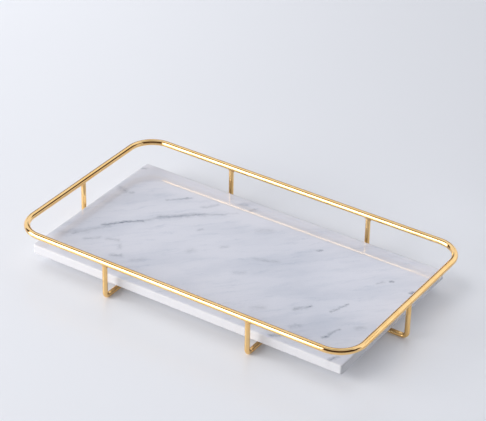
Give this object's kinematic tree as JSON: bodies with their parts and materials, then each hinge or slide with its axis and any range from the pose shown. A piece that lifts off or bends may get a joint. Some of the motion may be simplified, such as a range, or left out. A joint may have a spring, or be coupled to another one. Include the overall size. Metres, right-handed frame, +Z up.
{
  "type": "dresser vanity tray",
  "caption": "Rectangular polished marble slab lying loose in a low gold wire cradle with a rounded rail all round, for perfume bottles and vanity accessories.",
  "frame": {"origin": "on the surface the tray stands on, below the middle of the tray", "axes": "+X along the long side, +Y to the back, +Z up; left and right are -X and +X"},
  "size_m": [0.305, 0.177, 0.0355],
  "materials": {
    "gold_wire": "mirror-polished gold plating",
    "gold_filler": "polished gold plating, slightly softer than the wire",
    "marble": "polished white marble with soft blue-grey veins",
    "clear_silicone": "clear, satin"
  },
  "bodies": {
    "frame": {"top_rail": "gold_wire", "cross_wire_left": "gold_wire", "cross_wire_right": "gold_wire", "end_wire_left": "gold_wire", "end_wire_right": "gold_wire", "centre_brace": "gold_wire", "rail_braze_front_left": "gold_filler", "rail_braze_front_right": "gold_filler", "rail_braze_back_left": "gold_filler", "rail_braze_back_right": "gold_filler", "rail_braze_left": "gold_filler", "rail_braze_right": "gold_filler", "base_weld_left_outer": "gold_filler", "base_weld_left_inner": "gold_filler", "base_weld_right_outer": "gold_filler", "base_weld_right_inner": "gold_filler"},
    "slab": {"marble_slab": "marble", "bumper_pad_front_left": "clear_silicone", "bumper_pad_front_right": "clear_silicone", "bumper_pad_back_left": "clear_silicone", "bumper_pad_back_right": "clear_silicone", "bumper_pad_left": "clear_silicone", "bumper_pad_right": "clear_silicone"}
  },
  "joints": [
    {"name": "slab_lift", "type": "slide", "parent": "frame", "child": "slab", "axis": [0, 0, 1], "range_m": [0, 0.04]}
  ]
}
